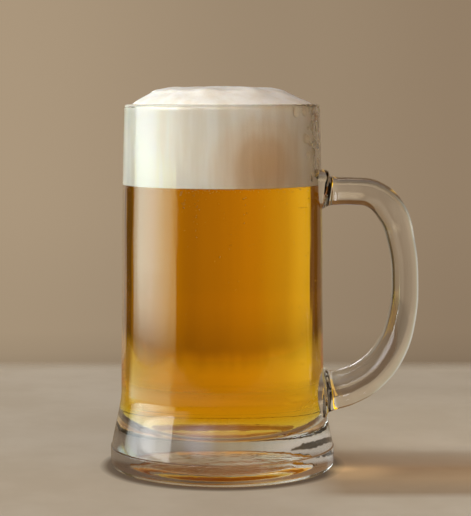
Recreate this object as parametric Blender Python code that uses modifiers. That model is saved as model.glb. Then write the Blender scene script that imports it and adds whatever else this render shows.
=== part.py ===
"""A pint of beer in a plain glass tankard: the glass with its handle, the beer and the head of foam.

Metres, +Z up. The origin is the middle of the tankard's footprint on the table, handle included.
The handle points along +X, and the part is the same on both sides of the plane Y = 0.
"""

import math

import bmesh
import bpy
from mathutils import Vector, noise

# The glass body, from its own upright axis
RIM_HEIGHT = 0.1595
RIM_OUTER_R = 0.0426
RIM_INNER_R = 0.0398
BODY_R = 0.0440
BODY_FULL_Z = 0.090
WAIST_R = 0.0446
CAVITY_R = 0.0400
CAVITY_FULL_Z = 0.150
FLOOR_Z = 0.015
FLOOR_FILLET = 0.015

# The flare and the foot ring
FLARE_TOP_Z = 0.034
FLARE_PULL_HIGH = (0.0447, 0.0275)
FLARE_PULL_LOW = (0.0477, 0.0175)
RING_TOP_R = 0.0489
RING_TOP_Z = 0.0098
RING_R = 0.0494
RING_EDGE = 0.0007
FOOT_EDGE = 0.0026
PUNT_R = 0.0273
PUNT_FLAT_R = 0.0189
PUNT_DEPTH = 0.0016

# The handle: reach from the axis, height and thickness at each place along it
HANDLE_ROOT = 0.030
HANDLE_STOPS = (
    (0.0440, 0.1222, 0.0178),
    (0.0480, 0.1217, 0.0136),
    (0.0570, 0.1216, 0.0122),
    (0.0662, 0.1202, 0.0125),
    (0.0738, 0.1130, 0.0130),
    (0.0783, 0.0997, 0.0120),
    (0.0801, 0.0830, 0.0117),
    (0.0789, 0.0660, 0.0122),
    (0.0741, 0.0517, 0.0133),
    (0.0657, 0.0412, 0.0143),
    (0.0560, 0.0356, 0.0153),
    (0.0490, 0.0337, 0.0172),
    (0.0440, 0.0335, 0.0222),
)
HANDLE_REACH = 0.0801 + 0.0117 / 2
HANDLE_WIDTH_RATIO = 1.45
HANDLE_SQUARENESS = 2.4

# The drink
BEER_LEVEL = 0.1248
CROWN_HEIGHT = 0.0082
CROWN_SHOULDER_R = 0.0285
CROWN_FLAT_R = 0.0235
CROWN_LEAN = 0.0020
RIPPLE_HEIGHT = 0.0005
RIPPLE_SIZE = 0.011
GAP = 0.0003

# Where the axis stands: the origin is halfway between the foot's far edge and the handle's
AXIS_X = -(HANDLE_REACH - RING_R) / 2

STEPS = 64
HANDLE_SIDES = 20
MERGE = 0.00001


def arc(centre, radius, start, end, count):
    """Points on an arc in the profile's plane, angles in degrees from +X, both ends included."""
    turns = [math.radians(start + (end - start) * i / count) for i in range(count + 1)]
    return [(centre[0] + radius * math.cos(t), centre[1] + radius * math.sin(t)) for t in turns]


def bezier(p0, p1, p2, p3, count):
    """Points on a cubic curve from p0 to p3, both ends included."""
    points = []
    for i in range(count + 1):
        t = i / count
        weights = ((1 - t) ** 3, 3 * t * (1 - t) ** 2, 3 * t * t * (1 - t), t**3)
        points.append(tuple(sum(w * p[k] for w, p in zip(weights, (p0, p1, p2, p3))) for k in (0, 1)))
    return points


def material(name, colour, roughness, transmission=0.0):
    """A plain Principled material."""
    made = bpy.data.materials.new(name)
    made.use_nodes = True
    shader = made.node_tree.nodes["Principled BSDF"]
    shader.inputs["Base Color"].default_value = (*colour, 1)
    shader.inputs["Roughness"].default_value = roughness
    shader.inputs["Metallic"].default_value = 0.0
    shader.inputs["Transmission Weight"].default_value = transmission
    made.diffuse_color = (*colour, 1)
    return made


def link(obj, collection):
    collection.objects.link(obj)
    return obj


def as_guide(obj):
    """Shows a cutter or joined form as wire only."""
    obj.hide_render = True
    obj.display_type = "WIRE"
    return obj


def turned(name, outline, collection):
    """A solid turned about the upright axis from an outline that runs down its outer side."""
    mesh = bpy.data.meshes.new(name)
    form = bmesh.new()
    corners = [form.verts.new((x, 0, z)) for x, z in outline]
    for a, b in zip(corners, corners[1:]):
        form.edges.new((a, b))
    form.to_mesh(mesh)
    form.free()
    obj = link(bpy.data.objects.new(name, mesh), collection)
    obj.location.x = AXIS_X
    screw = obj.modifiers.new("Turn", "SCREW")
    screw.steps = STEPS
    screw.render_steps = STEPS
    screw.use_merge_vertices = True
    screw.merge_threshold = MERGE
    return obj


def shade_round(obj):
    """Smooth shading, with edges sharper than 35 degrees kept crisp."""
    smooth = obj.modifiers.get("Smooth by Angle")
    if smooth is None:
        obj.data.shade_smooth()
        obj.data.set_sharp_from_angle(angle=math.radians(35))


def body_outline():
    """The glass without its hollow: rim, wall, flare, foot ring, foot edge and punt."""
    lip = (RIM_OUTER_R - RIM_INNER_R) / 2
    lip_centre = (RIM_OUTER_R - lip, RIM_HEIGHT - lip)
    top = [(0, RIM_HEIGHT)]
    rim = arc(lip_centre, lip, 90, 0, 6)
    lean = (BODY_R - RIM_OUTER_R) / 2
    third = (rim[-1][1] - BODY_FULL_Z) / 3
    wall = bezier(
        rim[-1],
        (RIM_OUTER_R + lean, RIM_HEIGHT - lip - third),
        (BODY_R, BODY_FULL_Z + third),
        (BODY_R, BODY_FULL_Z),
        5,
    )
    third = (BODY_FULL_Z - FLARE_TOP_Z) / 3
    waist = bezier(
        (BODY_R, BODY_FULL_Z),
        (BODY_R, BODY_FULL_Z - third),
        (WAIST_R, FLARE_TOP_Z + third),
        (WAIST_R, FLARE_TOP_Z),
        4,
    )
    flare = bezier((WAIST_R, FLARE_TOP_Z), FLARE_PULL_HIGH, FLARE_PULL_LOW, (RING_TOP_R, RING_TOP_Z), 7)
    ring = arc((RING_R - RING_EDGE, RING_TOP_Z - RING_EDGE), RING_EDGE, 50, 0, 3)
    foot = arc((RING_R - FOOT_EDGE, FOOT_EDGE), FOOT_EDGE, 0, -90, 5)
    slope = (PUNT_R - PUNT_FLAT_R) / 3
    punt = bezier(
        (PUNT_R, 0),
        (PUNT_R - slope, 0.6 * PUNT_DEPTH),
        (PUNT_FLAT_R + slope, PUNT_DEPTH),
        (PUNT_FLAT_R, PUNT_DEPTH),
        4,
    )
    return top + rim + wall[1:] + waist[1:] + flare[1:] + ring + foot + punt + [(0, PUNT_DEPTH)]


def hollow_outline(inset=0.0, top=None):
    """The space inside the glass, open above the rim, or drawn in and cut off for what fills it."""
    radius = CAVITY_R - inset
    rim_radius = RIM_INNER_R - inset
    fillet = FLOOR_FILLET - inset
    floor = FLOOR_Z + inset
    pull = (RIM_HEIGHT - CAVITY_FULL_Z) / 3
    if top is None:
        lip = (RIM_OUTER_R - RIM_INNER_R) / 2
        lip_centre = (RIM_OUTER_R - lip, RIM_HEIGHT - lip)
        over = RIM_HEIGHT + 0.01
        mouth = [(0, over), (lip_centre[0], over)] + arc(lip_centre, lip, 90, 180, 6)
        upper = mouth + [(rim_radius, RIM_HEIGHT - lip - pull), (radius, CAVITY_FULL_Z)]
    else:
        upper = [(0, top), (radius, top)]
    corner = (radius - fillet, floor + fillet)
    return upper + arc(corner, fillet, 0, -90, 9) + [(0, floor)]


def handle_section(collection):
    """The handle's cross-section at a thickness of one metre: an oval with fuller corners."""
    curve = bpy.data.curves.new("handle_section", "CURVE")
    curve.dimensions = "2D"
    spline = curve.splines.new("POLY")
    spline.points.add(HANDLE_SIDES - 1)
    for i, point in enumerate(spline.points):
        turn = math.tau * i / HANDLE_SIDES
        x, y = (
            math.copysign(abs(part) ** (2 / HANDLE_SQUARENESS), part) for part in (math.cos(turn), math.sin(turn))
        )
        point.co = (HANDLE_WIDTH_RATIO * x / 2, y / 2, 0, 1)
    spline.use_cyclic_u = True
    return as_guide(link(bpy.data.objects.new("handle_section", curve), collection))


def handle_form(collection):
    """The handle as a closed tube along its path, its ends sunk well into the body."""
    section = handle_section(collection)
    curve = bpy.data.curves.new("handle", "CURVE")
    curve.dimensions = "3D"
    curve.twist_mode = "MINIMUM"
    curve.bevel_mode = "OBJECT"
    curve.bevel_object = section
    curve.use_fill_caps = True
    curve.resolution_u = 4
    first, last = HANDLE_STOPS[0], HANDLE_STOPS[-1]
    stops = [(HANDLE_ROOT, *first[1:]), *HANDLE_STOPS, (HANDLE_ROOT, *last[1:])]
    spline = curve.splines.new("BEZIER")
    spline.radius_interpolation = "CARDINAL"
    spline.bezier_points.add(len(stops) - 1)
    for point, (reach, height, thickness) in zip(spline.bezier_points, stops):
        point.co = (reach, 0, height)
        point.radius = thickness
        point.handle_left_type = "AUTO"
        point.handle_right_type = "AUTO"
    path = link(bpy.data.objects.new("handle_path", curve), collection)
    path.location.x = AXIS_X
    bpy.context.view_layer.update()
    shape = path.evaluated_get(bpy.context.evaluated_depsgraph_get())
    mesh = bpy.data.meshes.new_from_object(shape)
    mesh.name = "handle"
    form = bmesh.new()
    form.from_mesh(mesh)
    bmesh.ops.remove_doubles(form, verts=form.verts, dist=MERGE)
    bmesh.ops.recalc_face_normals(form, faces=form.faces)
    form.to_mesh(mesh)
    form.free()
    handle = as_guide(link(bpy.data.objects.new("handle_form", mesh), collection))
    handle.matrix_world = path.matrix_world.copy()
    bpy.data.objects.remove(path)
    bpy.data.objects.remove(section)
    return handle


def boolean(obj, name, operation, other):
    step = obj.modifiers.new(name, "BOOLEAN")
    step.operation = operation
    step.solver = "EXACT"
    step.object = other


def make_glass(parts, cutters):
    """One piece of glass: the turned body with the handle joined on and the hollow cut out."""
    glass = turned("glass_mug", body_outline(), parts)
    boolean(glass, "Join handle", "UNION", handle_form(cutters))
    hollow = as_guide(turned("hollow", hollow_outline(), cutters))
    boolean(glass, "Cut hollow", "DIFFERENCE", hollow)
    glass.data.materials.append(material("clear_glass", (0.93, 0.95, 0.93), 0.02, 1.0))
    return glass


def make_beer(parts):
    """The beer, up to the line under the foam."""
    beer = turned("beer", hollow_outline(GAP, BEER_LEVEL), parts)
    beer.data.materials.append(material("lager", (0.80, 0.42, 0.04), 0.05, 0.8))
    return beer


def foam_outline():
    """The foam's side, from the middle of its crown down the glass to the beer."""
    crown = RIM_HEIGHT + CROWN_HEIGHT
    side = CAVITY_R - GAP
    lip_z = RIM_HEIGHT - 0.001
    cap = [(0, crown), (CROWN_FLAT_R / 2, crown - 0.0002), (CROWN_FLAT_R, crown - 0.0006)]
    shoulder = (CROWN_SHOULDER_R, crown - 0.0017)
    slope = [shoulder, ((shoulder[0] + side) / 2 + 0.0005, RIM_HEIGHT + 0.0035), (side - 0.0006, RIM_HEIGHT)]
    return cap + slope + [(side, lip_z), (side, BEER_LEVEL + GAP), (0, BEER_LEVEL + GAP)]


def make_foam(parts):
    """The head of foam: a turned form whose crown leans a little and is softly rippled."""
    foam = turned("foam", foam_outline(), parts)
    bpy.context.view_layer.update()
    shape = foam.evaluated_get(bpy.context.evaluated_depsgraph_get())
    mesh = bpy.data.meshes.new_from_object(shape)
    for vertex in mesh.vertices:
        above = max(vertex.co.z - RIM_HEIGHT, 0) / CROWN_HEIGHT
        if above > 0:
            place = Vector((vertex.co.x, vertex.co.y, 0)) / RIPPLE_SIZE
            vertex.co.z += RIPPLE_HEIGHT * (noise.noise(place) - 0.5) * above
            vertex.co.x -= CROWN_LEAN * above
    foam.modifiers.clear()
    foam.data = mesh
    mesh.name = "foam"
    mesh.materials.append(material("foam_head", (0.93, 0.89, 0.80), 0.85))
    return foam


for old in list(bpy.data.objects):
    bpy.data.objects.remove(old)

pint = bpy.data.collections.new("pint_of_beer")
guides = bpy.data.collections.new("cutters")
for group in (pint, guides):
    bpy.context.scene.collection.children.link(group)

for piece in (make_glass(pint, guides), make_beer(pint), make_foam(pint)):
    shade_round(piece)
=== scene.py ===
# %% [markdown]
# # A pint of beer, made in Blender
#
# This lesson dresses a finished construction model: a plain glass tankard with a handle, the beer
# in it and the head of foam on top. The construction model gives every size. Here each of its three
# solids is replaced by a finer mesh with a finish that bends, absorbs or scatters light as the real
# thing does.

import math
import random

import bmesh
import bpy
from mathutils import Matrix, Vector, noise


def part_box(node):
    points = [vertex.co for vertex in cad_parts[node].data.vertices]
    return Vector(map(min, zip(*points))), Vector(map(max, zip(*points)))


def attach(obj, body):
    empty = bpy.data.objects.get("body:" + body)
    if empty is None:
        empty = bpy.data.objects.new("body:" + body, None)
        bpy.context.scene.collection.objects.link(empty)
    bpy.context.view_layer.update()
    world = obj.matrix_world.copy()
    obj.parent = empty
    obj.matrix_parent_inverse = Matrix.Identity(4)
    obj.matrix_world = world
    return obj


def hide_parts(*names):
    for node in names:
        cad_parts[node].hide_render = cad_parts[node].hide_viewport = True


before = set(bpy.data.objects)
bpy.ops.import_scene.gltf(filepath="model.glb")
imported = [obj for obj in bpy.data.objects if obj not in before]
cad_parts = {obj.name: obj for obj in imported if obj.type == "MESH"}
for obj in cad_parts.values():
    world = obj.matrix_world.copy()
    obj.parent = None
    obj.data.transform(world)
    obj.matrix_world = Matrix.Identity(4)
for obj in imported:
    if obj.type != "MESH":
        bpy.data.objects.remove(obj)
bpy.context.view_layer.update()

# %% [markdown]
# The tankard's upright axis isn't at the origin, which is in the middle of the whole footprint with
# the handle counted. The beer is a round solid on that axis, so the middle of its box gives the
# axis. The level of the beer comes from its box too, and the height of the rim from the glass.

# %% Read the main sizes from the model
beer_low, beer_high = (Vector(corner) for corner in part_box("beer"))
glass_low, glass_high = (Vector(corner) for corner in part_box("glass_mug"))
foam_low, foam_high = (Vector(corner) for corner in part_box("foam"))

axis_x = (beer_low.x + beer_high.x) / 2
AXIS = Vector((axis_x, 0, 0))
rim_z = glass_high.z
foot_r = glass_high.y
beer_z = beer_high.z
crown_z = foam_high.z
GAP = 0.0003
cavity_r = (beer_high.y - beer_low.y) / 2 + GAP
print(f"axis {axis_x:.4f}, rim {rim_z:.4f}, beer level {beer_z:.4f}, hollow radius {cavity_r:.4f}")

# %% [markdown]
# Every round piece here starts as a profile, half of a cut through its middle. Three helpers give
# the points of an arc, of a smooth cubic curve and of a straight line. A point is its distance from
# the axis first, then its height.


# %% Helpers for profiles
def arc(centre, radius, start, end, count):
    """Points on an arc, angles in degrees from the outward direction, both ends included."""
    turns = [math.radians(start + (end - start) * i / count) for i in range(count + 1)]
    return [(centre[0] + radius * math.cos(t), centre[1] + radius * math.sin(t)) for t in turns]


def cubic(p0, p1, p2, p3, count):
    """Points on a cubic curve from p0 to p3, pulled towards p1 and p2, both ends included."""
    points = []
    for i in range(count + 1):
        t = i / count
        weights = ((1 - t) ** 3, 3 * t * (1 - t) ** 2, 3 * t * t * (1 - t), t**3)
        points.append(tuple(sum(w * p[k] for w, p in zip(weights, (p0, p1, p2, p3))) for k in (0, 1)))
    return points


def straight(start, end, count):
    """Evenly spaced points on a line, both ends included."""
    steps = [i / count for i in range(count + 1)]
    return [(start[0] + (end[0] - start[0]) * t, start[1] + (end[1] - start[1]) * t) for t in steps]


print("profile helpers ready, a quarter arc in 4 steps has", len(arc((0, 0), 1, 0, 90, 4)), "points")

# %% [markdown]
# The profile is spun round the axis, as a potter's wheel or a lathe would shape it. The ends of a
# full turn meet, so doubled points are merged, and the faces are turned outwards.

# %% Spin a profile
MERGE = 0.00001


def mesh_from(form, name):
    """Turns a finished bmesh into a mesh."""
    mesh = bpy.data.meshes.new(name)
    form.to_mesh(mesh)
    form.free()
    return mesh


def placed(name, data):
    """An object with this mesh, curve or camera, linked to the scene."""
    made = bpy.data.objects.new(name, data)
    bpy.context.scene.collection.objects.link(made)
    return made


def spin_profile(name, profile, turns):
    """Spins a profile round the tankard's axis into a closed mesh object with its faces outwards."""
    form = bmesh.new()
    corners = [form.verts.new((axis_x + r, 0, z)) for r, z in profile]
    edges = [form.edges.new(pair) for pair in zip(corners, corners[1:])]
    bmesh.ops.spin(
        form,
        geom=corners + edges,
        cent=AXIS,
        axis=(0, 0, 1),
        angle=math.tau,
        steps=turns,
        use_merge=True,
    )
    bmesh.ops.remove_doubles(form, verts=form.verts, dist=MERGE)
    bmesh.ops.recalc_face_normals(form, faces=form.faces)
    mesh = mesh_from(form, name)
    mesh.shade_smooth()
    return placed(name, mesh)


print("points closer than", MERGE, "m are merged")

# %% [markdown]
# ## Camera
#
# The photograph was taken with a long lens from about three quarters of a metre, with the lens just
# above the level of the rim and tipped down a little. So the rim is seen almost edge on, while the
# foot shows as an open ellipse.

# %% Camera
CAMERA_DISTANCE = 0.764
CAMERA_HEIGHT = 0.164
CAMERA_SIDE = 0.0058
CAMERA_TIP = 5.381
FOCAL_PIXELS = 1745
FRAME_HEIGHT = 516

camera_data = bpy.data.cameras.new("camera")
camera_data.sensor_width = 36
camera_data.lens = FOCAL_PIXELS / FRAME_HEIGHT * camera_data.sensor_width
camera = placed("camera", camera_data)
camera.location = (axis_x + CAMERA_SIDE, -CAMERA_DISTANCE, CAMERA_HEIGHT)
camera.rotation_euler = (math.radians(90 - CAMERA_TIP), 0, 0)
bpy.context.scene.camera = camera
bpy.context.scene.view_settings.view_transform = "Standard"
bpy.context.scene.cycles.max_bounces = 24
bpy.context.scene.cycles.transmission_bounces = 24
print(f"lens {camera_data.lens:.1f} mm")

# %% [markdown]
# ## Light
#
# Clear glass has no look of its own: it shows what stands round it, bent and mirrored. So the light
# matters as much as the mesh. A wide soft light stands at the left, plain warm backdrops hang behind
# and a darker gap stands between each backdrop and what is beside it. Those gaps draw the dark lines
# down both edges of the glass. All of it is far away, so it is painted on the sky by direction. First
# come small tools that keep the node trees short to write.


# %% Small tools for nodes
def node(tree, kind, **settings):
    """Adds a node and sets its properties, and its inputs where a name is one of those."""
    made = tree.nodes.new(kind)
    for name, value in settings.items():
        if hasattr(made, name):
            setattr(made, name, value)
        else:
            made.inputs[name.replace("_", " ")].default_value = value
    return made


def fed(tree, source, kind, **settings):
    """Adds a node whose first input is fed by a socket."""
    made = node(tree, kind, **settings)
    tree.links.new(source, made.inputs[0])
    return made


def opaque(colour):
    """A colour with its alpha. A single number stands for a grey."""
    return (colour, colour, colour, 1) if isinstance(colour, (int, float)) else (*colour, 1)


def feed(tree, socket, value):
    """Links a socket to an input, or sets the input to a number or a colour."""
    if isinstance(value, bpy.types.NodeSocket):
        tree.links.new(value, socket)
    else:
        socket.default_value = value if socket.type == "VALUE" else opaque(value)


def math_node(tree, operation, first, second=None):
    """A Math node fed by sockets or numbers. Returns its result."""
    made = node(tree, "ShaderNodeMath", operation=operation)
    feed(tree, made.inputs[0], first)
    if second is not None:
        feed(tree, made.inputs[1], second)
    return made.outputs[0]


def ramp(tree, factor, stops, interpolation="EASE"):
    """A Color Ramp fed by factor, with (place, colour) stops."""
    made = fed(tree, factor, "ShaderNodeValToRGB")
    made.color_ramp.interpolation = interpolation
    elements = made.color_ramp.elements
    while len(elements) < len(stops):
        elements.new(1.0)
    for element, (place, colour) in zip(elements, stops):
        element.position = place
        element.color = opaque(colour)
    return made.outputs["Color"]


print("tools for nodes ready")

# %% [markdown]
# Colours are put together in a few ways only: multiplied, as a lamp and its shade are, added, as two
# lamps are, or laid over plain white in some places. Each way gets a short name.


# %% Small tools for colours
def mix_colour(tree, mode, first, second, factor=1.0):
    """A colour Mix node. Returns its result."""
    made = node(tree, "ShaderNodeMix", data_type="RGBA", blend_type=mode, clamp_result=False)
    feed(tree, made.inputs[6], first)
    feed(tree, made.inputs[7], second)
    feed(tree, made.inputs["Factor"], factor)
    return made.outputs[2]


def multiply(tree, first, *others):
    """The product of colours."""
    for other in others:
        first = mix_colour(tree, "MULTIPLY", first, other)
    return first


def add(tree, first, *others):
    """The sum of colours."""
    for other in others:
        first = mix_colour(tree, "ADD", first, other)
    return first


def where(tree, share, colour):
    """The colour where share is 1, and white where it is 0."""
    return mix_colour(tree, "MIX", 1, colour, share)


def as_colour(tree, value):
    """A number from 0 to 1 as a grey."""
    return ramp(tree, value, [(0.0, 0), (1.0, 1)], "LINEAR")


def brightness(tree, colour):
    """The brightness of a colour as a number."""
    return fed(tree, colour, "ShaderNodeRGBToBW").outputs[0]


print("tools for colours ready")

# %% [markdown]
# A sky could be a picture, but a few ramps do here. Two angles are worked out from the direction of
# the ray: its bearing, 0 straight behind the tankard and positive to the left, and its height over
# the horizon. Every backdrop and light below is a ramp over one of them, or the product of two.

# %% Bearing and height on the sky
world = bpy.data.worlds.new("studio")
bpy.context.scene.world = world
world.use_nodes = True
sky = world.node_tree
sky.nodes.clear()
direction = node(sky, "ShaderNodeTexCoord").outputs["Generated"]
east, north, up = fed(sky, direction, "ShaderNodeSeparateXYZ").outputs
sky_bearing = math_node(sky, "ARCTAN2", math_node(sky, "MULTIPLY", east, -1.0), north)
turn = math_node(sky, "ADD", math_node(sky, "DIVIDE", sky_bearing, math.tau), 0.5)
level = math_node(sky, "ADD", math_node(sky, "DIVIDE", math_node(sky, "ARCSINE", up), math.pi), 0.5)


def at_height(degrees):
    """Where a height over the horizon lies on a ramp over the sky's level."""
    return degrees / 180 + 0.5


def round_sky(stops, interpolation="EASE"):
    """A ramp round the horizon, with (bearing in degrees, colour) stops."""
    return ramp(sky, turn, [(degrees / 360 + 0.5, colour) for degrees, colour in stops], interpolation)


def up_sky(stops, interpolation="EASE"):
    """A ramp from the ground up, with (height in degrees, colour) stops."""
    return ramp(sky, level, [(at_height(degrees), colour) for degrees, colour in stops], interpolation)


print("sky angles worked out by", len(sky.nodes), "nodes")

# %% [markdown]
# A ray keeps count of how it came, and the Light Path node reads the count. A ray that foam or table
# scattered lights them. One that went through more than four surfaces has crossed the drink, and one
# that was mirrored inside the glass has been through its thick foot. So the drink can be given the
# warm room that it shows in the photograph without making the backdrop as warm.

# %% Tell rays apart by their way
BEER_SURFACES = 4
FOOT_SURFACES = 2


def went_through(tree, counts, surfaces):
    """1 for a ray that has gone through more than so many surfaces, or else 0."""
    return math_node(tree, "GREATER_THAN", counts.outputs["Transmission Depth"], surfaces + 0.5)


sky_ray = node(sky, "ShaderNodeLightPath")
scattered = math_node(sky, "GREATER_THAN", sky_ray.outputs["Diffuse Depth"], 0.5)
through_drink = went_through(sky, sky_ray, BEER_SURFACES)
mirrored = math_node(sky, "GREATER_THAN", sky_ray.outputs["Glossy Depth"], 0.5)
mirrored_inside = math_node(sky, "MULTIPLY", went_through(sky, sky_ray, 1), mirrored)
in_foot = math_node(sky, "MAXIMUM", mirrored_inside, went_through(sky, sky_ray, FOOT_SURFACES))
in_foot = math_node(sky, "SUBTRACT", in_foot, through_drink)
print("rays told apart by", sky_ray.name)

# %% [markdown]
# The backdrop is a plain taupe wall that grows lighter to the left, where it is seen through the
# handle's side of the glass. It is darker near the ground and warm and dim high up. A dark gap stands
# at each end.

# %% Backdrops
TAUPE = (0.330, 0.245, 0.160)
TAUPE_LIGHT = (0.410, 0.310, 0.205)
TAUPE_DARK = (0.250, 0.180, 0.112)
TAUPE_DIP = (0.290, 0.210, 0.135)
GAP_DARK = (0.085, 0.058, 0.028)
GAP_LEFT = (0.110, 0.064, 0.026)
ROOM = (0.060, 0.044, 0.030)
BEHIND_LEFT = (0.455, 0.390, 0.270)
BEHIND_FAR_LEFT = (0.590, 0.555, 0.470)
WALLS_ACROSS = [
    (-150, ROOM),
    (-56, TAUPE_DARK),
    (-51, TAUPE_DARK),
    (-49, GAP_DARK),
    (-41, GAP_DARK),
    (-38, TAUPE_DARK),
    (-12, TAUPE),
    (-8, TAUPE_DIP),
    (-2, TAUPE),
    (8, TAUPE_LIGHT),
    (17, BEHIND_LEFT),
    (28, BEHIND_FAR_LEFT),
    (36, BEHIND_FAR_LEFT),
    (38.5, GAP_LEFT),
    (54, GAP_LEFT),
    (130, GAP_DARK),
    (150, ROOM),
]
WALLS_UP = [
    (-40, 0.35),
    (-11, 0.62),
    (-9.3, 0.68),
    (-7.9, 0.92),
    (-3, 1.0),
    (18, 0.95),
    (24, (0.46, 0.28, 0.13)),
    (50, (0.42, 0.23, 0.08)),
]
walls = multiply(sky, round_sky(WALLS_ACROSS), up_sky(WALLS_UP))
print("backdrops", len(WALLS_ACROSS), "stops across,", len(WALLS_UP), "up")

# %% [markdown]
# The main light is wide and soft, and its mirror image is the pale band down the left of the glass.
# It ends a little above and below the horizon, so the band has ends too. It is slightly green below
# the horizon and bluer above, as that band is. Scattered rays get less of it, so that the foam isn't
# lit too hard.

# %% The main soft light
SOFTBOX = (6.6, 6.8, 6.6)
SOFTBOX_ON_FOAM = 0.60
softbox_low = round_sky(
    [
        (57.5, 0),
        (63.0, (0.33, 0.38, 0.34)),
        (74.0, (0.74, 0.86, 0.79)),
        (93.0, (0.88, 1.0, 0.90)),
        (109.0, (0.68, 0.76, 0.57)),
        (124.5, (0.42, 0.43, 0.22)),
        (127.5, 0),
    ],
    "LINEAR",
)
softbox_high = round_sky(
    [
        (57.5, 0),
        (64.0, (0.40, 0.44, 0.46)),
        (76.0, (0.70, 0.76, 0.82)),
        (93.0, (0.72, 0.77, 0.81)),
        (112.0, (0.48, 0.48, 0.42)),
        (132.0, (0.16, 0.15, 0.12)),
        (150.0, 0),
    ]
)
softbox_ends = up_sky([(-10, 0), (-8, 0.2), (-6.8, 0.25), (-5.8, 1), (12, 1), (18, 0)], "LINEAR")
softbox = mix_colour(sky, "MIX", softbox_low, softbox_high, up_sky([(0.1, 0), (0.7, 1)]))
softbox = multiply(sky, softbox, softbox_ends, SOFTBOX, where(sky, scattered, SOFTBOX_ON_FOAM))
print("soft light", SOFTBOX, "for scattered rays", SOFTBOX_ON_FOAM)

# %% [markdown]
# Three more lights shape the foam: a fill from the left and from behind the camera, a cool one from
# the top for the crown, and the glow of the room. The last is kept for scattered rays, as a mirror
# image of it would lie as a veil over the beer. A small bright light does the reverse: it is only
# mirrored, by the sloping side of the foot.

# %% Fill, top, room and foot lights
FILL = (3.3, 3.25, 3.2)
TOP = (0.28, 0.42, 0.58)
FLARE = (5.0, 5.0, 4.9)
fill_across = round_sky(
    [
        (-180, (0.96, 0.79, 0.53)),
        (-150, (0.52, 0.33, 0.13)),
        (-110, (0.36, 0.21, 0.08)),
        (-85, 0),
        (84, 0),
        (98, (0.95, 0.97, 0.92)),
        (130, (1.15, 1.12, 1.05)),
        (152, (1.65, 1.64, 1.75)),
        (180, (0.96, 0.79, 0.53)),
    ]
)
fill_high = up_sky([(8, 0), (13, 1), (24, 1), (38, 0)])
fill = multiply(sky, fill_across, fill_high, FILL)
top = multiply(sky, up_sky([(48, 0), (62, 1)]), TOP)
room_across = round_sky(
    [
        (-180, (0.60, 0.50, 0.32)),
        (-150, (0.24, 0.13, 0.03)),
        (-100, 0),
        (60, 0),
        (100, (0.75, 0.85, 0.95)),
        (150, (1.10, 1.20, 1.15)),
        (180, (0.60, 0.50, 0.32)),
    ]
)
room_high = up_sky([(-28, 0), (-18, 1), (10, 1), (20, 0)])
room = multiply(sky, room_across, room_high, as_colour(sky, scattered))
flare_across = round_sky([(82, 0), (88, 0.7), (96, 1), (124.5, 1), (127, 0)], "LINEAR")
flare_high = up_sky([(3.8, 0), (4.6, 1), (14, 1), (18, 0)])
flare = multiply(sky, flare_across, flare_high, FLARE, where(sky, scattered, 0))
lights = add(sky, softbox, fill, top, room, flare)
print("lights: soft light, fill, top, room and foot")

# %% [markdown]
# Seen through the drink, the wall is a little brighter and the far table parts the darker upper amber
# from the lighter gold below. The height of that step is worked out by Math nodes, because a ramp is
# stored as 256 values and would blur so narrow a step. The foot gets an amber wall, as the light in
# it has come through the beer.

# %% What the drink and the foot show
BEER_GLOW = (1.32, 1.21, 1.0)
LIGHTS_IN_BEER = 0.3
FAR_TABLE = (0.27, 0.210, 0.14)
FAR_TABLE_TOP = -9.18
FAR_TABLE_SOFTNESS = 0.50
below = math_node(sky, "SUBTRACT", at_height(FAR_TABLE_TOP), level)
below = math_node(sky, "MULTIPLY", below, 180 / FAR_TABLE_SOFTNESS)
below = math_node(sky, "MAXIMUM", math_node(sky, "MINIMUM", below, 1.0), 0.0)
far_table = multiply(
    sky,
    ramp(sky, below, [(0.0, 0), (1.0, 1)]),
    round_sky([(4, 1), (16, (1.0, 1.12, 3.0))]),
    FAR_TABLE,
    as_colour(sky, through_drink),
)
foot_amber = up_sky(
    [
        (-1.0, 1),
        (1.5, (0.50, 0.19, 0.01)),
        (10.5, (0.50, 0.19, 0.01)),
        (12.5, 1),
        (14.6, (1.0, 0.95, 0.88)),
        (16.2, (1.30, 0.78, 0.26)),
        (20.0, (1.35, 0.66, 0.08)),
        (30.0, (0.75, 0.33, 0.02)),
        (50, (0.80, 0.60, 0.40)),
    ],
    "LINEAR",
)
foot_behind = round_sky([(-50, 0), (-38, 1), (35, 1), (48, 0)], "LINEAR")
foot_share = math_node(sky, "MULTIPLY", in_foot, brightness(sky, foot_behind))
walls = multiply(sky, walls, where(sky, foot_share, foot_amber), where(sky, through_drink, BEER_GLOW))
lights = multiply(sky, lights, where(sky, through_drink, LIGHTS_IN_BEER))
light = node(sky, "ShaderNodeBackground")
sky.links.new(add(sky, walls, lights, far_table), light.inputs["Color"])
fed(sky, light.outputs[0], "ShaderNodeOutputWorld")
print("sky painted by", len(sky.nodes), "nodes")

# %% [markdown]
# ## Table
#
# The tankard stands on a plain pale table top with a faint mottle. It could be a huge plane, but one
# that ends behind the glass and fades out softly gives the horizon of the photograph, which is out of
# focus. Only the finish fades, so the mesh is a plain grid.

# %% Table top
TABLE_HALF_WIDTH = 0.42
TABLE_HALF_DEPTH = 0.30

form = bmesh.new()
bmesh.ops.create_grid(form, x_segments=8, y_segments=8, size=1.0)
bmesh.ops.scale(form, verts=form.verts, vec=(TABLE_HALF_WIDTH, TABLE_HALF_DEPTH, 1))
table_top = placed("table_top", mesh_from(form, "table_top"))
print("table top", TABLE_HALF_WIDTH * 2, "by", TABLE_HALF_DEPTH * 2, "m")

# %% [markdown]
# Each finish is a material whose nodes are all put there by hand, so two helpers start and end its
# tree. The table's own colour is a soft noise between two pale tones.


# %% Table colour
def new_finish(name):
    """A material with an empty node tree. Returns both."""
    made = bpy.data.materials.new(name)
    made.use_nodes = True
    made.node_tree.nodes.clear()
    return made, made.node_tree


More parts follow.
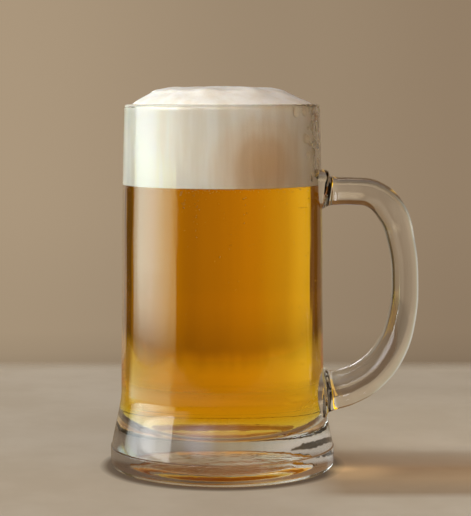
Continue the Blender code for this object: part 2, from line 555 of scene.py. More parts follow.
def close_tree(tree, shader, filling=None):
    """Links a shader, and what fills the shape, to the output."""
    end = node(tree, "ShaderNodeOutputMaterial")
    tree.links.new(shader.outputs[0], end.inputs["Surface"])
    if filling:
        tree.links.new(filling.outputs[0], end.inputs["Volume"])


TABLE_PALE = (0.77, 0.68, 0.535)
TABLE_WARM = (0.69, 0.595, 0.45)
table_finish, board = new_finish("pale_table")
place = node(board, "ShaderNodeTexCoord").outputs["Object"]
mottle = fed(board, place, "ShaderNodeTexNoise", Scale=14.0, Detail=4.0, Roughness=0.6)
table_colour = ramp(board, mottle.outputs["Fac"], [(0.35, TABLE_WARM), (0.65, TABLE_PALE)])
print("table colours", TABLE_PALE, TABLE_WARM)

# %% [markdown]
# A glass of beer throws a patch of gathered light on the table, and its foot shows the table beneath
# it in bands. Cycles finds such light only with very many samples. So the finish of the table draws
# it, by the place on the table and by what the ray has come through. Places are measured from the
# tankard's axis: across to the right, away from the camera, and straight out.

# %% Places on the table
shifted = fed(board, place, "ShaderNodeVectorMath", operation="SUBTRACT")
shifted.inputs[1].default_value = AXIS
off_axis = shifted.outputs[0]
across, away = fed(board, off_axis, "ShaderNodeSeparateXYZ").outputs[:2]
radius = fed(board, off_axis, "ShaderNodeVectorMath", operation="LENGTH").outputs["Value"]
table_ray = node(board, "ShaderNodeLightPath")
through_beer = went_through(board, table_ray, BEER_SURFACES)
through_glass = math_node(board, "SUBTRACT", went_through(board, table_ray, 0), through_beer)
in_glass = as_colour(board, through_glass)


def along(coordinate, low, high, stops):
    """A straight ramp over a coordinate of the table that runs from low to high."""
    share = math_node(board, "DIVIDE", math_node(board, "SUBTRACT", coordinate, low), high - low)
    return ramp(board, share, [((at - low) / (high - low), colour) for at, colour in stops], "LINEAR")


print("places measured from", tuple(AXIS))

# %% [markdown]
# Looked at through its own glass, the ring that the foot stands on shows a band of light: grey and
# bright at the right, amber and dim at the left, with one dark patch where the light has no way in.
# Three ramps multiplied give the band.

# %% Light seen under the foot
UNDER_RADIUS = [(0.018, (0.10, 0.04, 0.01)), (0.024, 1), (0.054, 1), (0.060, 0)]
UNDER_AWAY = [(-0.034, (0.60, 0.36, 0.18)), (0.010, (0.35, 0.16, 0.04)), (0.021, 1), (0.040, 1.25)]
UNDER_ACROSS = [
    (-0.018, (0.10, 0.08, 0.06)),
    (-0.012, (0.06, 0.05, 0.04)),
    (-0.010, (0.035, 0.02, 0.008)),
    (-0.004, (0.06, 0.045, 0.025)),
    (0.000, (0.095, 0.072, 0.040)),
    (0.004, (0.15, 0.135, 0.095)),
    (0.008, (0.20, 0.195, 0.165)),
    (0.0105, (0.28, 0.26, 0.215)),
    (0.0130, (0.33, 0.305, 0.27)),
    (0.018, (0.30, 0.275, 0.24)),
]
PATCH_ACROSS = [(0.0148, 0), (0.0154, 1), (0.0192, 1), (0.0198, 0)]
PATCH_AWAY = [(0.024, 0), (0.026, 1), (0.036, 1), (0.038, 0)]
patch = multiply(board, along(across, -0.03, 0.03, PATCH_ACROSS), along(away, 0.0, 0.1, PATCH_AWAY))
under_foot = multiply(
    board,
    in_glass,
    along(radius, 0.0, 0.1, UNDER_RADIUS),
    along(away, -0.1, 0.1, UNDER_AWAY),
    along(across, -0.03, 0.03, UNDER_ACROSS),
    where(board, brightness(board, patch), 0),
)
print("light under the foot", len(UNDER_ACROSS), "stops across")

# %% [markdown]
# Beside the foot the glass bends a little light round its edge. Behind it, the table lies in the
# glow of the beer, so the foot shows it dark amber with a golden part at the right.

# %% Light beside and behind the foot
BEHIND_AMBER = (0.16, 0.06, 0.015)
BESIDE_RADIUS = [(0.048, 0), (0.053, (0.11, 0.10, 0.07)), (0.070, (0.11, 0.10, 0.07)), (0.09, 0)]
BEHIND_AWAY = [(0.045, 0), (0.050, 1), (0.20, 1), (0.25, 0)]
BEHIND_ACROSS = [(-0.034, 0), (-0.030, 1), (0.030, 1), (0.034, 0)]
GOLD_ACROSS = [(-0.010, (0.06, 0.02, 0.0)), (0.002, (0.20, 0.07, 0.0)), (0.010, (0.65, 0.36, 0.05))]
beside_foot = multiply(
    board,
    in_glass,
    along(math_node(board, "ABSOLUTE", across), 0.0, 0.1, [(0.028, 0), (0.034, 1)]),
    along(radius, 0.0, 0.1, BESIDE_RADIUS),
)
behind_foot = multiply(
    board, in_glass, along(away, 0.0, 0.3, BEHIND_AWAY), along(across, -0.05, 0.05, BEHIND_ACROSS)
)
golden = multiply(board, behind_foot, along(across, -0.05, 0.05, GOLD_ACROSS))
dark_behind = where(board, brightness(board, behind_foot), BEHIND_AMBER)
print("amber behind the foot", BEHIND_AMBER)

# %% [markdown]
# The shade of the tankard is plain where it is seen directly: a dark line under the foot's edge, and
# a long warm shadow to the right, because the main light stands at the left and what gets past has
# crossed the beer. The mirror image of the table in the glass is darker than the table.

# %% Shade under and beside the tankard
MIRRORED_TABLE = (0.45, 0.33, 0.20)
CONTACT_SHADE = [(0.0445, (0.10, 0.05, 0.02)), (0.0500, (0.12, 0.07, 0.03)), (0.0545, 1)]
UNDER_SHADE = [
    (-0.036, (0.52, 0.40, 0.26)),
    (-0.022, (0.42, 0.26, 0.12)),
    (0.012, (0.26, 0.12, 0.04)),
    (0.024, (0.60, 0.54, 0.46)),
]
WARM_SHADOW = [
    (-0.066, 1),
    (-0.055, (0.64, 0.53, 0.42)),
    (-0.044, (0.70, 0.56, 0.42)),
    (-0.029, (0.84, 0.65, 0.44)),
    (-0.009, (0.74, 0.51, 0.31)),
    (0.004, (0.76, 0.61, 0.48)),
    (0.015, (0.83, 0.72, 0.60)),
    (0.032, 1),
]
contact_shade = ramp(board, radius, CONTACT_SHADE)
under_shade = along(away, -0.1, 0.1, UNDER_SHADE)
shade = mix_colour(board, "MIX", contact_shade, under_shade, through_glass)
to_right = along(across, 0.0, 0.4, [(0.034, 0), (0.052, 1), (0.16, 1), (0.25, 0)])
warm_shadow = where(board, brightness(board, to_right), along(away, -0.1, 0.1, WARM_SHADOW))
in_mirror = where(board, table_ray.outputs["Is Glossy Ray"], MIRRORED_TABLE)
base_colour = multiply(board, table_colour, shade, dark_behind, warm_shadow, in_mirror)
print("shadow to the right", len(WARM_SHADOW), "stops")

# %% [markdown]
# In the warm shadow lies the bright patch that the beer gathers like a lens. The table is a little
# brighter on both sides of the shadow, where light comes past and through the handle.

# %% Gathered light at the right
CAUSTIC = (0.34, 0.22, 0.10)
CAUSTIC_SPOT = (0.052, -0.010, 0)
CAUSTIC_REACH = 0.1
CAUSTIC_AWAY = [(-0.045, 0), (-0.03, 0.8), (-0.01, 1), (0.0, 0.2), (0.01, 0)]
LIFT = (0.15, 0.13, 0.095)
LIFT_ACROSS = [(0.035, 0), (0.055, 1), (0.16, 0.8), (0.30, 0)]
LIFT_AWAY = [(-0.16, 0), (-0.075, 0.2), (-0.056, 0), (0.022, 0.1), (0.042, 1), (0.10, 0.7), (0.2, 0)]
from_spot = fed(board, off_axis, "ShaderNodeVectorMath", operation="DISTANCE")
from_spot.inputs[1].default_value = CAUSTIC_SPOT
spot_share = math_node(board, "DIVIDE", from_spot.outputs["Value"], CAUSTIC_REACH)
caustic = multiply(
    board,
    ramp(board, spot_share, [(0.02, 1), (0.10, 0.55), (0.30, 0)]),
    along(away, -0.1, 0.1, CAUSTIC_AWAY),
    along(across, 0.0, 0.1, [(0.044, 0), (0.050, 1)]),
    CAUSTIC,
)
lift = multiply(board, along(across, 0.0, 0.4, LIFT_ACROSS), along(away, -0.2, 0.2, LIFT_AWAY), LIFT)
print("gathered light", CAUSTIC, "at", CAUSTIC_SPOT)

# %% [markdown]
# The left of the glass mirrors the table beside it, brightly lit by the main light, and the beer
# shows the table behind it. Both are seen only in the glass, so each is given only to its own rays.

# %% The table in the glass and in the beer
THROUGH_BEER = (0.41, 0.325, 0.09)
FOOT_GLOW = (0.035, 0.030, 0.024)
BESIDE_LEFT_BEARING = [(1.00, 0), (1.15, 1), (2.16, 0.9), (2.22, 0)]
BESIDE_LEFT_RADIUS = [
    (0.12, 0),
    (0.17, (1.8, 2.6, 2.6)),
    (0.23, (1.9, 2.8, 2.4)),
    (0.28, (1.8, 2.2, 1.1)),
    (0.38, (1.6, 1.5, 0.4)),
]
BEER_RADIUS = [(0.05, 1.15), (0.075, 1.22), (0.10, 1.12), (0.14, 0.95), (0.20, 0.90)]
BEER_ACROSS = [(-0.04, (1.05, 1.25, 3.0)), (-0.005, 1)]
table_bearing = math_node(board, "ARCTAN2", math_node(board, "MULTIPLY", across, -1.0), away)
beside_left = multiply(
    board,
    as_colour(board, table_ray.outputs["Is Glossy Ray"]),
    along(table_bearing, -math.pi, math.pi, BESIDE_LEFT_BEARING),
    along(radius, 0.0, 0.5, BESIDE_LEFT_RADIUS),
)
beer_light = multiply(
    board,
    as_colour(board, through_beer),
    THROUGH_BEER,
    along(radius, 0.0, 0.5, BEER_RADIUS),
    along(across, -0.3, 0.3, BEER_ACROSS),
)
gathered = add(board, under_foot, FOOT_GLOW, beside_foot, golden, caustic, lift, beside_left, beer_light)
print("table through the beer", THROUGH_BEER)

# %% [markdown]
# The last step lays the finish on the table and fades its edges into open air. The smooth minimum
# that rounds the fade off leaves the whole table a little see-through. Rays through the beer see only
# the table that is near, because for them the sky holds the far part.

# %% Put the table together
TABLE_FADE = 0.035
TABLE_ROUGHNESS = 0.55


def fade(coordinate, half):
    """About 0.92 well inside the table top, falling to 0 at its edge."""
    inside = math_node(board, "SUBTRACT", half, math_node(board, "ABSOLUTE", coordinate))
    share = math_node(board, "DIVIDE", inside, TABLE_FADE)
    capped = math_node(board, "MINIMUM", share, 1.0)
    return math_node(board, "SMOOTH_MIN", capped, 1.0)


table_x, table_y = fed(board, place, "ShaderNodeSeparateXYZ").outputs[:2]
cover = math_node(board, "MULTIPLY", fade(table_x, TABLE_HALF_WIDTH), fade(table_y, TABLE_HALF_DEPTH))
near = along(radius, 0.0, 0.5, [(0.11, 1), (0.20, 0)])
seen_near = math_node(board, "MULTIPLY", brightness(board, near), cover)
cover = math_node(
    board,
    "ADD",
    math_node(board, "MULTIPLY", cover, math_node(board, "SUBTRACT", 1.0, through_beer)),
    math_node(board, "MULTIPLY", seen_near, through_beer),
)
paint = node(board, "ShaderNodeBsdfPrincipled", Roughness=TABLE_ROUGHNESS, Emission_Strength=1.0)
board.links.new(base_colour, paint.inputs["Base Color"])
board.links.new(gathered, paint.inputs["Emission Color"])
blend = fed(board, cover, "ShaderNodeMixShader")
board.links.new(node(board, "ShaderNodeBsdfTransparent").outputs[0], blend.inputs[1])
board.links.new(paint.outputs[0], blend.inputs[2])
close_tree(board, blend)
table_top.data.materials.append(table_finish)
print("table finish", len(board.nodes), "nodes")

# %% [markdown]
# ## The glass body
#
# The body is one turned wall: a rounded rim, a side that widens a little towards the bottom, a flare
# and a heavy foot ring outside, and a plain straight hollow with a round-cornered floor inside. It
# could be a stack of cylinders, but a profile spun round the axis keeps every curve smooth, and
# glass shows the smallest kink as a bright line.

# %% Outside of the body
RIM_OUTER_R = 0.0426
RIM_INNER_R = 0.0398
BODY_R = 0.0440
BODY_FULL_Z = 0.090
WAIST_R = 0.0446
FLARE_TOP_Z = 0.034
FLARE_PULL_HIGH = (0.0447, 0.0275)
FLARE_PULL_LOW = (0.0477, 0.0175)
RING_TOP_R = 0.0489
RING_TOP_Z = 0.0098
RING_EDGE = 0.0007
FOOT_EDGE = 0.0026
PUNT_R = 0.0273
PUNT_FLAT_R = 0.0189
PUNT_DEPTH = 0.0016

lip = (RIM_OUTER_R - RIM_INNER_R) / 2
lip_centre = (RIM_OUTER_R - lip, rim_z - lip)
third = (lip_centre[1] - BODY_FULL_Z) / 3
rim_curve = arc(lip_centre, lip, 180, 0, 18)
upper_wall = cubic(
    rim_curve[-1],
    (RIM_OUTER_R + (BODY_R - RIM_OUTER_R) / 2, lip_centre[1] - third),
    (BODY_R, BODY_FULL_Z + third),
    (BODY_R, BODY_FULL_Z),
    26,
)
third = (BODY_FULL_Z - FLARE_TOP_Z) / 3
lower_wall = cubic(
    (BODY_R, BODY_FULL_Z),
    (BODY_R, BODY_FULL_Z - third),
    (WAIST_R, FLARE_TOP_Z + third),
    (WAIST_R, FLARE_TOP_Z),
    20,
)
flare = cubic((WAIST_R, FLARE_TOP_Z), FLARE_PULL_HIGH, FLARE_PULL_LOW, (RING_TOP_R, RING_TOP_Z), 22)
ring_top = arc((foot_r - RING_EDGE, RING_TOP_Z - RING_EDGE), RING_EDGE, 62, 0, 8)
foot_edge = arc((foot_r - FOOT_EDGE, FOOT_EDGE), FOOT_EDGE, 0, -90, 14)
third = (PUNT_R - PUNT_FLAT_R) / 3
punt = cubic(
    (PUNT_R, 0),
    (PUNT_R - third, 0.6 * PUNT_DEPTH),
    (PUNT_FLAT_R + third, PUNT_DEPTH),
    (PUNT_FLAT_R, PUNT_DEPTH),
    10,
)
outside = rim_curve + upper_wall[1:] + lower_wall[1:] + flare[1:] + ring_top
outside += straight((foot_r, RING_TOP_Z - RING_EDGE), (foot_r, FOOT_EDGE), 4)[1:-1] + foot_edge
outside += straight((foot_r - FOOT_EDGE, 0), (PUNT_R, 0), 6)[1:-1] + punt
outside += straight((PUNT_FLAT_R, PUNT_DEPTH), (0, PUNT_DEPTH), 5)[1:]
print("outside of the body", len(outside), "points")

# %% [markdown]
# The hollow narrows a hair towards the rim and ends in a floor with a round corner. Its wall is
# parted where the beer ends, so that the faces below that level can have a finish of their own. Then
# inside and outside together are spun round the axis.

# %% Inside of the body
CAVITY_FULL_Z = 0.150
FLOOR_Z = 0.015
FLOOR_FILLET = 0.015
BODY_TURNS = 216

third = (lip_centre[1] - CAVITY_FULL_Z) / 3
inside = cubic(
    (RIM_INNER_R, lip_centre[1]),
    (RIM_INNER_R, lip_centre[1] - third),
    (cavity_r, CAVITY_FULL_Z + third),
    (cavity_r, CAVITY_FULL_Z),
    6,
)
floor_corner = (cavity_r - FLOOR_FILLET, FLOOR_Z + FLOOR_FILLET)
inside += straight((cavity_r, CAVITY_FULL_Z), (cavity_r, beer_z), 9)[1:]
inside += straight((cavity_r, beer_z), (cavity_r, floor_corner[1]), 30)[1:]
inside += arc(floor_corner, FLOOR_FILLET, 0, -90, 26)[1:]
inside += straight((floor_corner[0], FLOOR_Z), (0, FLOOR_Z), 8)[1:]

body = spin_profile("glass_body", list(reversed(inside)) + outside[1:], BODY_TURNS)
print("glass body", len(body.data.vertices), "vertices")

# %% [markdown]
# ## The handle
#
# The handle was drawn out as a rod of hot glass and pressed onto the wall at both ends, where it
# spreads into a thick pad. It could be bent from a straight rod, but a curve that carries its path
# and its thickness is easier to fit. Its section comes first: an oval with fuller corners, flatter
# on the inner side.

# %% Handle section
HANDLE_WIDTH_RATIO = 1.45
OUTER_SQUARENESS = 2.3
INNER_SQUARENESS = 4.6
HANDLE_SIDES = 72

section_curve = bpy.data.curves.new("handle_section", "CURVE")
section_curve.dimensions = "2D"
outline = section_curve.splines.new("POLY")
outline.points.add(HANDLE_SIDES - 1)
for i, point in enumerate(outline.points):
    angle = math.tau * i / HANDLE_SIDES
    side, rise = math.cos(angle), math.sin(angle)
    squareness = INNER_SQUARENESS if rise > 0 else OUTER_SQUARENESS
    side = math.copysign(abs(side) ** (2 / squareness), side)
    rise = math.copysign(abs(rise) ** (2 / squareness), rise)
    point.co = (HANDLE_WIDTH_RATIO * side / 2, rise / 2, 0, 1)
outline.use_cyclic_u = True
section = placed("handle_section", section_curve)
print("handle section", HANDLE_SIDES, "sides")

# %% [markdown]
# The path runs from inside the upper wall round to inside the lower one. Each stop has a reach from
# the axis, a height and a thickness, as in the construction model, with more stops where the ends
# spread on the wall.

# %% Handle path
HANDLE_ROOT = 0.030
HANDLE_STOPS = (
    (0.0440, 0.1221, 0.0180),
    (0.0454, 0.1219, 0.0158),
    (0.0474, 0.1217, 0.0129),
    (0.0570, 0.1216, 0.0122),
    (0.0662, 0.1202, 0.0125),
    (0.0738, 0.1130, 0.0130),
    (0.0783, 0.0997, 0.0120),
    (0.0801, 0.0830, 0.0117),
    (0.0789, 0.0660, 0.0122),
    (0.0741, 0.0517, 0.0133),
    (0.0657, 0.0412, 0.0143),
    (0.0560, 0.0356, 0.0153),
    (0.0480, 0.0337, 0.0166),
    (0.0456, 0.0336, 0.0196),
    (0.0440, 0.0335, 0.0224),
)
HANDLE_STEPS = 14

path_curve = bpy.data.curves.new("handle_path", "CURVE")
path_curve.dimensions = "3D"
path_curve.twist_mode = "MINIMUM"
path_curve.bevel_mode = "OBJECT"
path_curve.bevel_object = section
path_curve.use_fill_caps = True
path_curve.resolution_u = HANDLE_STEPS
stops = [(HANDLE_ROOT, *HANDLE_STOPS[0][1:]), *HANDLE_STOPS, (HANDLE_ROOT, *HANDLE_STOPS[-1][1:])]
spline = path_curve.splines.new("BEZIER")
spline.radius_interpolation = "CARDINAL"
spline.bezier_points.add(len(stops) - 1)
for point, (reach, z, thickness) in zip(spline.bezier_points, stops):
    point.co = (axis_x + reach, 0, z)
    point.radius = thickness
    point.handle_left_type = "AUTO"
    point.handle_right_type = "AUTO"
path = placed("handle_path", path_curve)
bpy.context.view_layer.update()
print("handle path", len(stops), "stops")

# %% [markdown]
# The curve is made a mesh, its doubled points are merged and its faces turned outwards. The guides
# are then taken away.


# %% Handle mesh
def evaluated_mesh(obj):
    """A copy of the object's mesh as its modifiers and curve settings leave it."""
    shape = obj.evaluated_get(bpy.context.evaluated_depsgraph_get())
    return bpy.data.meshes.new_from_object(shape)


handle_mesh = evaluated_mesh(path)
form = bmesh.new()
form.from_mesh(handle_mesh)
bmesh.ops.remove_doubles(form, verts=form.verts, dist=MERGE)
bmesh.ops.recalc_face_normals(form, faces=form.faces)
form.to_mesh(handle_mesh)
form.free()
handle_mesh.shade_smooth()
handle = placed("handle", handle_mesh)
for guide in (path, section):
    bpy.data.objects.remove(guide)
print("handle", len(handle_mesh.vertices), "vertices")

# %% [markdown]
# Two solids that merely overlap would show a false wall of glass inside the joint, so the handle is
# joined to the body by a Boolean union. First a plain core trims the ends of the handle inside the
# thickness of the wall, so that they don't reach into the beer.

# %% Join the handle to the body
TRIM_R = (cavity_r + BODY_R) / 2 - 0.0012
SHARP_ANGLE = 32
form = bmesh.new()
bmesh.ops.create_cone(form, cap_ends=True, segments=BODY_TURNS, radius1=TRIM_R, radius2=TRIM_R, depth=rim_z)
bmesh.ops.translate(form, verts=form.verts, vec=AXIS + Vector((0, 0, rim_z / 2)))
core = placed("trim_core", mesh_from(form, "trim_core"))


def boolean(obj, operation, other):
    """Joins or cuts obj with other for good, and removes other."""
    step = obj.modifiers.new(operation, "BOOLEAN")
    step.operation = operation
    step.solver = "EXACT"
    step.object = other
    bpy.context.view_layer.update()
    result = evaluated_mesh(obj)
    obj.modifiers.clear()
    obj.data = result
    bpy.data.objects.remove(other)


boolean(handle, "DIFFERENCE", core)
boolean(body, "UNION", handle)
glass_mesh = body.data
glass_mesh.shade_smooth()
glass_mesh.set_sharp_from_angle(angle=math.radians(SHARP_ANGLE))
glass = body
glass.name = "clear_glass_tankard"
print("glass", len(glass_mesh.polygons), "faces")

# %% [markdown]
# Pressed glass is never quite even. It has long soft waves that run up the wall, which make the
# faint upright streaks in the beer, and a very slight tint in its thick foot. A weak bump stretched
# upwards gives the waves, and a thin absorption the tint.

# %% Glass finish
GLASS_IOR = 1.5
WAVE_STRETCH = 0.06


def clear_shader(tree, ior):
    """A shader for something clear and colourless that bends light by this index."""
    made = node(tree, "ShaderNodeBsdfPrincipled", Roughness=0.0, IOR=ior, Transmission_Weight=1.0)
    made.inputs["Base Color"].default_value = (1, 1, 1, 1)
    return made


def add_bump(tree, height, shader, strength, distance):
    """Roughens a shader's surface by a pattern of heights."""
    made = node(tree, "ShaderNodeBump", Strength=strength, Distance=distance)
    tree.links.new(height, made.inputs["Height"])
    tree.links.new(made.outputs[0], shader.inputs["Normal"])


glass_finish, tree = new_finish("clear_glass")
clear = clear_shader(tree, GLASS_IOR)
clear.name = "clear"
place = node(tree, "ShaderNodeTexCoord").outputs["Object"]
stretch = fed(tree, place, "ShaderNodeMapping", Location=(-axis_x, 0, 0), Scale=(1, 1, WAVE_STRETCH))
waves = fed(tree, stretch.outputs[0], "ShaderNodeTexNoise", Scale=150.0, Detail=2.0, Roughness=0.5)
add_bump(tree, waves.outputs["Fac"], clear, 0.28, 0.0006)
tint = node(tree, "ShaderNodeVolumeAbsorption", Color=(0.80, 0.92, 0.86, 1), Density=2.0)
close_tree(tree, clear, tint)
glass_mesh.materials.clear()
glass_mesh.materials.append(glass_finish)
print("glass finish", len(tree.nodes), "nodes")

# %% [markdown]
# Where beer touches the wall, light passes from glass to beer with no air between them, and bends
# much less. Two skins on the same place would confuse the renderer. So the wall's inner faces below
# the beer level do that bending, with the ratio of the two, and the skin of the beer does none.

# %% The wetted part of the wall
BEER_IOR = 1.34
wetted = glass_finish.copy()
wetted.name = "wetted_glass"
wetted.node_tree.nodes["clear"].inputs["IOR"].default_value = GLASS_IOR / BEER_IOR
glass_mesh.materials.append(wetted)
touched = 0
for face in glass_mesh.polygons:
    out = Vector((face.center.x - axis_x, face.center.y, 0))
    if out.length < cavity_r + 0.00005 and FLOOR_Z - 0.0001 < face.center.z < beer_z:
        face.material_index = 1
        touched += 1
print("wetted faces", touched)
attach(glass, "root")
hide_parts("glass_mug")

# %% [markdown]
# ## The beer
#
# The beer fills the hollow. Its skin reaches a little way into the glass, because a gap of air there
# would mirror like a silver lining. Its colour is not painted on: the liquid takes blue away almost
# at once and green more slowly, so thin places come out yellow and thick ones amber.

# %% Beer
WETTING = 0.00012
beer_r = cavity_r + WETTING
beer_floor = FLOOR_Z - WETTING
beer_profile = straight((0, beer_z), (beer_r, beer_z), 6)
beer_profile += straight((beer_r, beer_z), (beer_r, floor_corner[1]), 30)[1:]
beer_profile += arc(floor_corner, FLOOR_FILLET + WETTING, 0, -90, 26)[1:]
beer_profile += straight((floor_corner[0], beer_floor), (0, beer_floor), 8)[1:]
beer = spin_profile("lager", beer_profile, BODY_TURNS)
beer.data.set_sharp_from_angle(angle=math.radians(50))
print("beer", len(beer.data.vertices), "vertices, level", beer_z)

# %% [markdown]
# The skin of the beer bends nothing, since the wetted wall already does, and the rest is in the
# volume. Its colour says how little of each colour is taken away, and its density how fast. At 70 a
# few centimetres take nearly all the blue, some of the green and none of the red.

# %% Beer finish
AMBER = (1.0, 0.861, 0.0, 1)
AMBER_DENSITY = 70.0
lager, tree = new_finish("lager")
amber = node(tree, "ShaderNodeVolumeAbsorption", Color=AMBER, Density=AMBER_DENSITY)
close_tree(tree, clear_shader(tree, 1.0), amber)
beer.data.materials.append(lager)
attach(beer, "root")
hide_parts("beer")
print("beer finish", AMBER, AMBER_DENSITY)

# %% [markdown]
# ## The head of foam
#
# The foam is a thick white plug that fills the top of the glass and swells over the rim into a flat
# crown with sloping shoulders. It could be a plain cylinder, but it would look like plastic: the
# crown leans a little, has low soft folds, and against the glass a few large bubbles have left
# pockets.

# %% Foam profile
CROWN_SHOULDER_R = 0.0285
CROWN_FLAT_R = 0.0235
SHOULDER_DROP = 0.0019
FOAM_TURNS = 420
FOAM_DIP = 0.0003

foam_r = cavity_r + WETTING
foam_rim_r = RIM_INNER_R + WETTING / 2
crown = crown_z - 0.0001
shoulder = (CROWN_SHOULDER_R, crown - SHOULDER_DROP)
slope_pulls = (CROWN_SHOULDER_R + 0.004, crown - 0.0042), (foam_rim_r - 0.003, rim_z + 0.0020)
at_rim = (foam_rim_r - 0.0006, rim_z - 0.0002)
rim_pulls = (foam_rim_r, rim_z - 0.0010), (foam_rim_r, rim_z - 0.0020)
inside_rim = (foam_rim_r, rim_z - 0.0030)
foam_profile = cubic((0, crown), (CROWN_FLAT_R * 0.7, crown), (CROWN_FLAT_R, crown - 0.0002), shoulder, 40)
foam_profile += cubic(shoulder, *slope_pulls, at_rim, 26)[1:]
foam_profile += cubic(at_rim, *rim_pulls, inside_rim, 5)[1:]
foam_profile += straight(inside_rim, (foam_r, CAVITY_FULL_Z), 18)[1:]
foam_profile += straight((foam_r, CAVITY_FULL_Z), (foam_r, beer_z - FOAM_DIP), 72)[1:]
foam_profile += straight((foam_r, beer_z - FOAM_DIP), (0, beer_z - FOAM_DIP), 12)[1:]
foam = spin_profile("foam_head", foam_profile, FOAM_TURNS)
print("foam", len(foam.data.vertices), "vertices")

# %% [markdown]
# Against the glass, mostly at the right, large bubbles have burst and left shallow pockets with steep
# edges. They could be cut with Booleans, but there are many, so each is a place, a size and a rule
# for how deep it pushes the foam in.


# %% Pockets in the foam
POCKETS = 46
POCKET_BEARING = (72, 9)
POCKET_RADIUS = (0.0007, 0.0019)
POCKET_STRETCH = (0.8, 1.8)
POCKET_DEPTH = 0.7


def bearing_of(point):
    """Degrees round the axis, 0 towards the camera, 90 towards the handle."""
    return math.degrees(math.atan2(point.x - axis_x, -point.y))


draw = random.Random(21)
pockets = []
for _ in range(POCKETS):
    pockets.append(
        (
            draw.gauss(*POCKET_BEARING),
            draw.uniform(beer_z + 0.003, rim_z - 0.002),
            draw.uniform(*POCKET_RADIUS),
            draw.uniform(*POCKET_STRETCH),
        )
    )


def pocket_depth(point):
    """How far the side of the foam is pushed in at a point, by the deepest pocket there."""
    deepest = 0.0
    turned = bearing_of(point)
    for bearing, z, radius, tall in pockets:
        if abs(point.z - z) > radius * tall:
            continue
        away = math.radians((turned - bearing + 180) % 360 - 180) * foam_r
        share = (away / radius) ** 2 + ((point.z - z) / (radius * tall)) ** 2
        if share < 1:
            deepest = max(deepest, radius * POCKET_DEPTH * math.sqrt(1 - share))
    return deepest


print("foam pockets", len(pockets))

# %% [markdown]
# The relief is put into the mesh itself, so that it also shows in the outline. Above the rim the
# crown leans to the left and rises and falls in low folds. Below it the pockets are pushed in.

# %% Foam relief
CROWN_LEAN = 0.0020
FOLD_HEIGHT = 0.0007
FOLD_SIZE = 0.011
FOLD_SINK = 0.55
crown_height = crown_z - rim_z
pitted = 0
for vertex in foam.data.vertices:
    point = vertex.co
    out = Vector((point.x - axis_x, point.y, 0))
    above = (point.z - rim_z) / crown_height
    if above > 0:
        fold = noise.noise(Vector((point.x, point.y, 0)) / FOLD_SIZE)
        fold += 0.35 * noise.noise(Vector((point.x, point.y, 5)) / (FOLD_SIZE * 0.4))
        point.z += FOLD_HEIGHT * (fold - FOLD_SINK) * min(above * 1.5, 1)
        point.x -= CROWN_LEAN * above
    elif out.length > foam_rim_r - 0.001 and point.z > beer_z + 0.001:
        depth = pocket_depth(point)
        if depth > 0:
            point -= out.normalized() * (depth + WETTING)
            pitted += 1
foam.data.update()
print("pockets moved", pitted, "vertices")

# %% [markdown]
# Foam is nothing but tiny bubbles. It scatters light like snow, so it is a rough, slightly
# see-through cream with a fine grain. Soft upright streaks run down its side where beer drains
# through it. One place near the front, on the side away from the main light, is painted darker and
# warmer as painted shade, with an uneven edge. The colour is made first.

# %% Foam colour
FOAM_WHITE = (0.95, 0.925, 0.87)
FOAM_CREAM = (0.88, 0.83, 0.74)
# Painted shade: a darker, warmer spot with an uneven edge, on the foam's side away from the main light.
PAINTED_SHADE_SPOT = Vector((axis_x + 0.0165, -0.0370, 0.1335))
PAINTED_SHADE_TONE = (0.84, 0.64, 0.43)
PAINTED_SHADE_REACH = 0.05
PAINTED_SHADE_UNEVEN = 0.008
STREAK_STRETCH = 0.12

foam_finish, tree = new_finish("foam_cream")
place = node(tree, "ShaderNodeTexCoord").outputs["Object"]
stretch = fed(tree, place, "ShaderNodeMapping", Scale=(1, 1, STREAK_STRETCH))
streaks = fed(tree, stretch.outputs[0], "ShaderNodeTexNoise", Scale=170.0, Detail=3.0, Roughness=0.55)
cream = ramp(tree, streaks.outputs["Fac"], [(0.30, FOAM_CREAM), (0.62, FOAM_WHITE)])
from_spot = fed(tree, place, "ShaderNodeVectorMath", operation="DISTANCE")
from_spot.inputs[1].default_value = PAINTED_SHADE_SPOT
shade_edge_noise = fed(tree, stretch.outputs[0], "ShaderNodeTexNoise", Scale=260.0, Detail=2.0)
uneven = math_node(tree, "SUBTRACT", shade_edge_noise.outputs["Fac"], 0.5)
uneven = math_node(tree, "MULTIPLY", uneven, PAINTED_SHADE_UNEVEN)
painted_shade_share = math_node(tree, "ADD", from_spot.outputs["Value"], uneven)
painted_shade_share = math_node(tree, "DIVIDE", painted_shade_share, PAINTED_SHADE_REACH)
painted_shade_stops = [(0.06, PAINTED_SHADE_TONE), (0.18, (0.85, 0.69, 0.52)), (0.33, (0.96, 0.89, 0.81)), (0.48, 1)]
# The painted shade darkens and warms the cream round that spot.
cream = multiply(tree, cream, ramp(tree, painted_shade_share, painted_shade_stops))
print("foam colour", len(tree.nodes), "nodes")

# %% [markdown]
# The shader lets a little light into the foam and out again, as bubbles do. The grain is a bump with
# cells of under a millimetre, the size of the bubbles that can just be made out.

# %% Foam finish
froth = node(tree, "ShaderNodeBsdfPrincipled", Roughness=0.75, Subsurface_Weight=0.3, Subsurface_Scale=0.003)
froth.inputs["Subsurface Radius"].default_value = (1.0, 0.85, 0.6)
froth.inputs["Specular IOR Level"].default_value = 0.25
tree.links.new(cream, froth.inputs["Base Color"])
grain = fed(tree, place, "ShaderNodeTexVoronoi", Scale=1500.0)
add_bump(tree, grain.outputs["Distance"], froth, 0.14, 0.0003)
close_tree(tree, froth)
foam.data.materials.append(foam_finish)
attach(foam, "root")
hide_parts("foam")
print("foam finish set")

# %% [markdown]
# ## Bubbles
#
# A fresh beer always carries gas. Small bubbles cling to the glass, a few rise in the middle, and a
# crowded row sits right under the foam. Each is a little ball of its own, drawn from a few seeded
# random places, and all of them are one piece.

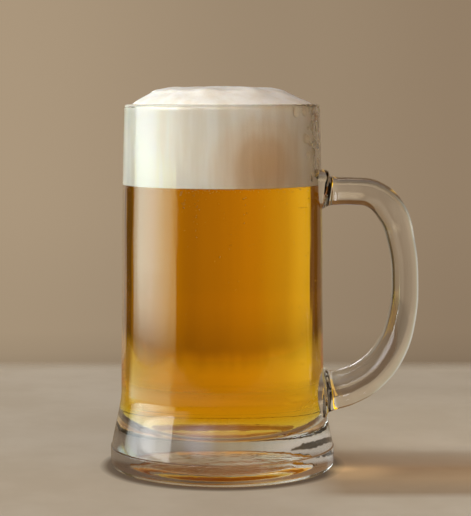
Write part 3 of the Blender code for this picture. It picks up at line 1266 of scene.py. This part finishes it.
# %% Bubbles
BUBBLES_RISING = 150
BUBBLES_CLINGING = 260
BUBBLES_UNDER_FOAM = 420
RISING_SIZE = (0.00012, 0.00030)
CLINGING_SIZE = (0.00010, 0.00024)
CLUSTER_SIZE = (0.00028, 0.00046)
UNDER_FOAM_SIZE = (0.00012, 0.00026)
FILM = 0.0001
# bearing from the front, lowest and highest place, and number of larger bubbles on the wall
CLUSTERS = [
    (-23, 0.1165, 0.1232, 9),
    (-15, 0.1045, 0.1225, 12),
    (-2, 0.094, 0.0965, 3),
    (14, 0.110, 0.121, 6),
]
draw = random.Random(8)
form = bmesh.new()


def add_bubble(bearing, distance, z, radius):
    """A small ball in the beer, at a bearing and distance from the axis."""
    turned = math.radians(bearing)
    centre = AXIS + Vector((math.sin(turned) * distance, -math.cos(turned) * distance, z))
    made = bmesh.ops.create_icosphere(form, subdivisions=1, radius=radius)
    bmesh.ops.translate(form, verts=made["verts"], vec=centre)


for _ in range(BUBBLES_RISING):
    size = draw.uniform(*RISING_SIZE)
    bearing = draw.uniform(-180, 180)
    distance = (cavity_r - 0.004) * math.sqrt(draw.random())
    add_bubble(bearing, distance, draw.uniform(FLOOR_Z + 0.004, beer_z - 0.002), size)
wall_low = floor_corner[1]
for _ in range(BUBBLES_CLINGING):
    size = draw.uniform(*CLINGING_SIZE)
    height_share = draw.random() ** 0.6
    z = wall_low + (beer_z - wall_low - 0.001) * height_share
    add_bubble(draw.uniform(-180, 180), cavity_r - size - FILM, z, size)
for bearing_from_front, low, high, number in CLUSTERS:
    for _ in range(number):
        size = draw.uniform(*CLUSTER_SIZE)
        bearing = bearing_from_front + draw.gauss(0, 1.1)
        add_bubble(bearing, cavity_r - size - FILM, draw.uniform(low, high), size)
for _ in range(BUBBLES_UNDER_FOAM):
    size = draw.uniform(*UNDER_FOAM_SIZE)
    bearing = draw.uniform(-180, 180)
    z = beer_z - 0.0004 - size - draw.random() ** 3 * 0.0016
    add_bubble(bearing, cavity_r - size - FILM, z, size)
bubble_mesh = mesh_from(form, "bubbles")
bubble_mesh.shade_smooth()
bubbles = placed("bubbles", bubble_mesh)
print("bubbles", len(bubble_mesh.polygons), "faces")

# %% [markdown]
# Gas in beer bends light the opposite way to a drop in air. A ball this small only has to glint, so a
# clear finish with the strength of that bend does it.

# %% Bubble finish
GAS_IOR = 1.33
gas, tree = new_finish("gas_bubble")
close_tree(tree, clear_shader(tree, GAS_IOR))
bubble_mesh.materials.append(gas)
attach(bubbles, "root")
print("bubbles ride on the root")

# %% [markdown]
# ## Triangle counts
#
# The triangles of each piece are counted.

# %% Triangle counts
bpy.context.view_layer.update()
for piece in (glass, beer, foam, bubbles):
    print(piece.name, sum(len(face.vertices) - 2 for face in piece.data.polygons), "triangles")
